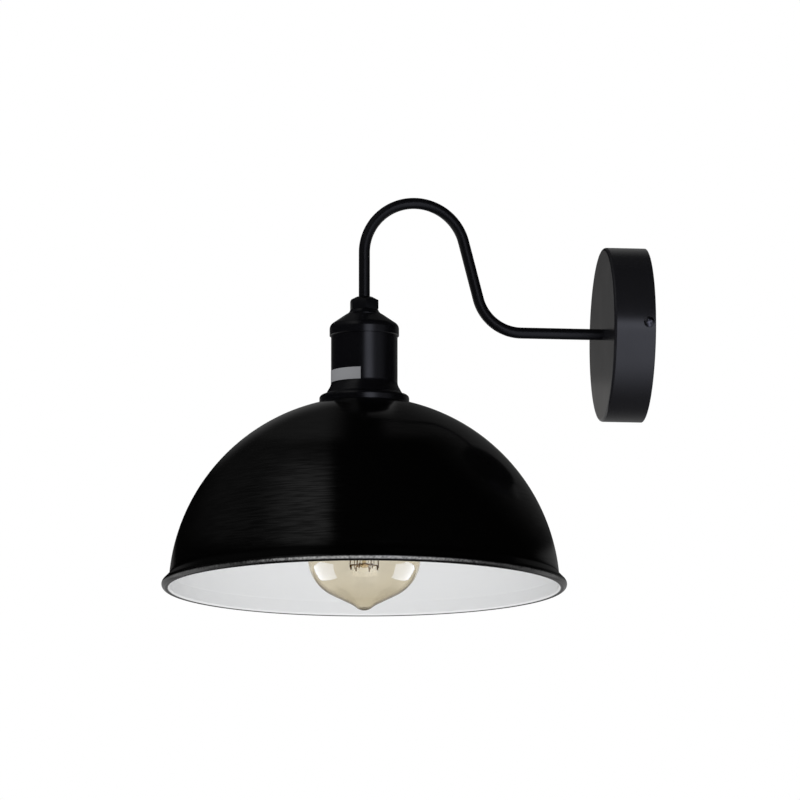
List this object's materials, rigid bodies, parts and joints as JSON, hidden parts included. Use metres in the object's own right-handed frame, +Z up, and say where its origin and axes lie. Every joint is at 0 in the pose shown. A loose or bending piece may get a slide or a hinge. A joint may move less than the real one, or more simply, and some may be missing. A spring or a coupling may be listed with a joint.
{
  "type": "wall lamp",
  "caption": "Wall lamp with a domed black metal shade hung from a swan-neck arm on a round canopy, and a screw-in globe bulb of amber glass under the shade.",
  "frame": {"origin": "on the wall, at the middle of the canopy and of the bracket's two wall slots", "axes": "+Y points into the wall and -Y out into the room, +Z is up, and +X is to the right of someone who faces the wall; the arm lies in the plane X = 0"},
  "size_m": [0.29, 0.347, 0.2995],
  "materials": {
    "satin_black_paint": "satin black paint",
    "gloss_black_lacquer": "gloss black lacquer outside, white enamel inside",
    "blackened_steel": "black oxide",
    "zinc_plated_steel": "bright zinc plate",
    "tinned_copper": "tin plate",
    "white_polyamide": "moulded, matt",
    "black_bakelite": "moulded, half gloss",
    "black_nylon": "moulded, matt",
    "steatite": "unglazed",
    "brass": "stamped, bright",
    "brown_insulation": "extruded",
    "blue_insulation": "extruded",
    "green_yellow_insulation": "extruded, green with yellow stripes",
    "nickelled_brass": "nickel plate",
    "solder": "soldered",
    "black_glass": "opaque",
    "amber_glass": "clear amber tint",
    "clear_glass": "clear",
    "nickel_wire": "drawn wire",
    "tungsten": "drawn wire"
  },
  "bodies": {
    "lamp": {"arm_nipple": "zinc_plated_steel", "arm_tube": "satin_black_paint", "block_fixing_screw": "zinc_plated_steel", "canopy": "satin_black_paint", "canopy_screws": "blackened_steel", "centre_contact": "brass", "cone_washer": "satin_black_paint", "earth_lead": "green_yellow_insulation", "earth_lug": "tinned_copper", "earth_screw": "zinc_plated_steel", "hex_nut": "satin_black_paint", "holder_cap": "satin_black_paint", "holder_cup": "satin_black_paint", "holder_terminal_screws": "zinc_plated_steel", "holder_terminals": "brass", "lampholder_core": "steatite", "lampholder_dome": "black_bakelite", "lampholder_skirt": "black_bakelite", "live_lead": "brown_insulation", "lock_nut": "zinc_plated_steel", "neutral_lead": "blue_insulation", "root_nut": "zinc_plated_steel", "screw_shell": "brass", "shade": "gloss_black_lacquer", "shade_ring": "black_bakelite", "star_washer": "zinc_plated_steel", "terminal_block": "white_polyamide", "terminal_block_screws": "zinc_plated_steel", "terminal_clamps": "brass", "threaded_sleeve": "zinc_plated_steel", "wall_bracket": "zinc_plated_steel", "wire_bush": "black_nylon"},
    "bulb_tip": {"bulb_contact": "solder"},
    "bulb": {"bulb_insulator": "black_glass", "bulb_cap": "nickelled_brass", "bulb_glass": "amber_glass", "bulb_stem": "clear_glass", "filament_hooks": "nickel_wire", "lead_in_wires": "nickel_wire", "filament": "tungsten"}
  },
  "joints": [
    {"name": "bulb_travel", "type": "slide", "parent": "lamp", "child": "bulb_tip", "axis": [0, 0, -1], "range_m": [0, 0.02178]},
    {"name": "bulb_turn", "type": "hinge", "parent": "bulb_tip", "child": "bulb", "pos_m": [0, -0.202, 0], "axis": [0, 0, -1], "range_deg": [0, 2160]}
  ],
  "couplings": [
    {"joint": "bulb_travel", "follows": "bulb_turn", "m_per_rad": 0.00057757}
  ]
}
